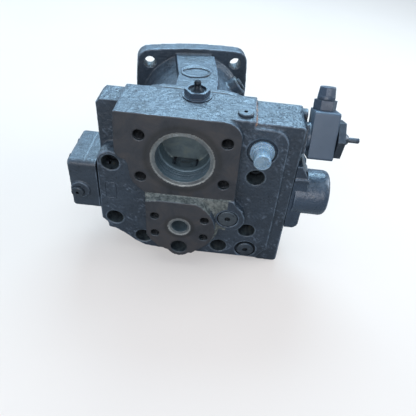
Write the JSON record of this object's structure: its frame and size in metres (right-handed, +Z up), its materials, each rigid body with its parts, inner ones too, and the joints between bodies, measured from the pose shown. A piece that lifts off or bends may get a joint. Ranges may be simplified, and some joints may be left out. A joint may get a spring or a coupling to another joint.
{
  "type": "axial piston pump",
  "caption": "Bent-axis variable displacement axial piston pump with a port-plate control block, solenoid valve, stroking piston, splined shaft and square mounting flange.",
  "frame": {"origin": "centre of the mounting-flange bolt circle, on the flange face and the drive-shaft axis", "axes": "+Z up; -Y is the outward normal of the port face; the shaft leaves horizontally at 11.25 degrees from +Y towards -X"},
  "size_m": [0.367, 0.3867, 0.2659],
  "materials": {
    "painted_casting": "dark slate grey paint over rough cast iron",
    "hardened_steel": "ground",
    "bearing_steel": "ground and polished",
    "drum_alloy": "machined",
    "spring_steel": "drawn wire",
    "dark_fastener": "black oxide",
    "painted_plug": "painted steel plug",
    "gasket_paper": "fibre gasket",
    "seal_rubber": "nitrile",
    "clear_plastic": "translucent moulded polyethylene",
    "coil_shell": "satin grey-blue coating",
    "zinc_steel": "overpainted steel",
    "connector_metal": "overpainted connector"
  },
  "bodies": {
    "case": {"adjuster_nut": "dark_fastener", "adjuster_screw": "dark_fastener", "connector_cap": "connector_metal", "connector_gland": "connector_metal", "control_spool_spring": "spring_steel", "cylinder_cap_screws": "dark_fastener", "drain_plugs": "painted_plug", "end_cover_plug": "painted_plug", "end_cover_screws": "dark_fastener", "front_bearing_cup": "bearing_steel", "housing": "painted_casting", "housing_gasket": "gasket_paper", "lower_locking_plug": "painted_plug", "override_stud": "dark_fastener", "port_plate": "painted_casting", "port_plate_screws": "dark_fastener", "pressure_spring": "spring_steel", "rear_bearing_cup": "bearing_steel", "retaining_ring": "hardened_steel", "seal_carrier": "bearing_steel", "seal_carrier_o_ring": "seal_rubber", "shaft_seal": "seal_rubber", "side_locking_plug": "painted_plug", "solenoid_coil": "coil_shell", "solenoid_end_nut": "zinc_steel", "solenoid_tube": "zinc_steel", "stroking_cylinder_cap": "painted_casting", "stroking_end_cover": "painted_casting", "stroking_spring": "spring_steel", "top_gauge_plug": "painted_plug", "transport_plug": "clear_plastic"},
    "shaft": {"drive_shaft": "hardened_steel", "ball_retaining_plate": "drum_alloy", "retaining_plate_screws": "hardened_steel", "front_bearing_cone": "bearing_steel", "rear_bearing_cone": "bearing_steel", "bearing_spacer": "hardened_steel"},
    "front_rollers": {"front_bearing_rollers": "bearing_steel"},
    "rear_rollers": {"rear_bearing_rollers": "bearing_steel"},
    "lens": {"control_lens": "hardened_steel"},
    "drum": {"cylinder_drum": "drum_alloy", "center_pin": "hardened_steel", "center_spring": "spring_steel"},
    "stroking": {"stroking_piston": "hardened_steel", "stroking_pin": "hardened_steel"},
    "spool": {"control_spool": "hardened_steel"},
    "armature": {"solenoid_armature": "hardened_steel"},
    "cutoff_spool": {"pressure_spool": "hardened_steel"},
    "piston_1": {"piston_1": "hardened_steel"},
    "piston_2": {"piston_2": "hardened_steel"},
    "piston_3": {"piston_3": "hardened_steel"},
    "piston_4": {"piston_4": "hardened_steel"},
    "piston_5": {"piston_5": "hardened_steel"},
    "piston_6": {"piston_6": "hardened_steel"},
    "piston_7": {"piston_7": "hardened_steel"}
  },
  "joints": [
    {"name": "shaft_spin", "type": "hinge", "parent": "case", "child": "shaft", "pos_m": [0, 0, 0], "axis": [-0.1951, 0.9808, 0], "range_deg": [-360, 360]},
    {"name": "front_rollers_spin", "type": "hinge", "parent": "case", "child": "front_rollers", "pos_m": [0, 0, 0], "axis": [-0.1951, 0.9808, 0], "range_deg": [-163.5, 163.5]},
    {"name": "rear_rollers_spin", "type": "hinge", "parent": "case", "child": "rear_rollers", "pos_m": [0, 0, 0], "axis": [-0.1951, 0.9808, 0], "range_deg": [-163, 163]},
    {"name": "swivel", "type": "hinge", "parent": "case", "child": "lens", "pos_m": [0.02177, -0.10946, 0], "axis": [0, 0, -1], "range_deg": [0, 22.5]},
    {"name": "drum_spin", "type": "hinge", "parent": "lens", "child": "drum", "pos_m": [0.02177, -0.10946, 0], "axis": [-0.1951, 0.9808, 0], "range_deg": [-360, 360]},
    {"name": "stroking_slide", "type": "slide", "parent": "case", "child": "stroking", "axis": [-1, 0, 0], "range_m": [0, 0.04337], "deforming": ["stroking_spring"]},
    {"name": "control_spool_slide", "type": "slide", "parent": "case", "child": "spool", "axis": [1, 0, 0], "range_m": [-0.0025, 0.0025], "deforming": ["control_spool_spring"]},
    {"name": "armature_slide", "type": "slide", "parent": "case", "child": "armature", "axis": [1, 0, 0], "range_m": [-0.0025, 0.0025]},
    {"name": "cutoff_spool_slide", "type": "slide", "parent": "case", "child": "cutoff_spool", "axis": [0, 0, 1], "range_m": [0, 0.003], "deforming": ["pressure_spring"]},
    {"name": "piston_1_slide", "type": "slide", "parent": "drum", "child": "piston_1", "axis": [-0.1951, 0.9808, 0], "range_m": [0, 0.01552]},
    {"name": "piston_2_slide", "type": "slide", "parent": "drum", "child": "piston_2", "axis": [-0.1951, 0.9808, 0], "range_m": [0, 0.00968]},
    {"name": "piston_3_slide", "type": "slide", "parent": "drum", "child": "piston_3", "axis": [-0.1951, 0.9808, 0], "range_m": [-0.00346, 0]},
    {"name": "piston_4_slide", "type": "slide", "parent": "drum", "child": "piston_4", "axis": [-0.1951, 0.9808, 0], "range_m": [-0.01399, 0]},
    {"name": "piston_5_slide", "type": "slide", "parent": "drum", "child": "piston_5", "axis": [-0.1951, 0.9808, 0], "range_m": [-0.01399, 0]},
    {"name": "piston_6_slide", "type": "slide", "parent": "drum", "child": "piston_6", "axis": [-0.1951, 0.9808, 0], "range_m": [-0.00346, 0]},
    {"name": "piston_7_slide", "type": "slide", "parent": "drum", "child": "piston_7", "axis": [-0.1951, 0.9808, 0], "range_m": [0, 0.00968]}
  ],
  "couplings": [
    {"joint": "front_rollers_spin", "follows": "shaft_spin", "ratio": 0.4538},
    {"joint": "rear_rollers_spin", "follows": "shaft_spin", "ratio": 0.4522},
    {"joint": "drum_spin", "follows": "shaft_spin", "ratio": 1},
    {"joint": "stroking_slide", "follows": "swivel", "m_per_rad": 0.11042},
    {"joint": "armature_slide", "follows": "control_spool_slide", "ratio": 1},
    {"joint": "piston_1_slide", "follows": "swivel", "m_per_rad": 0.039506},
    {"joint": "piston_2_slide", "follows": "swivel", "m_per_rad": 0.024632},
    {"joint": "piston_3_slide", "follows": "swivel", "m_per_rad": -0.0087909},
    {"joint": "piston_4_slide", "follows": "swivel", "m_per_rad": -0.035594},
    {"joint": "piston_5_slide", "follows": "swivel", "m_per_rad": -0.035594},
    {"joint": "piston_6_slide", "follows": "swivel", "m_per_rad": -0.0087909},
    {"joint": "piston_7_slide", "follows": "swivel", "m_per_rad": 0.024632}
  ]
}
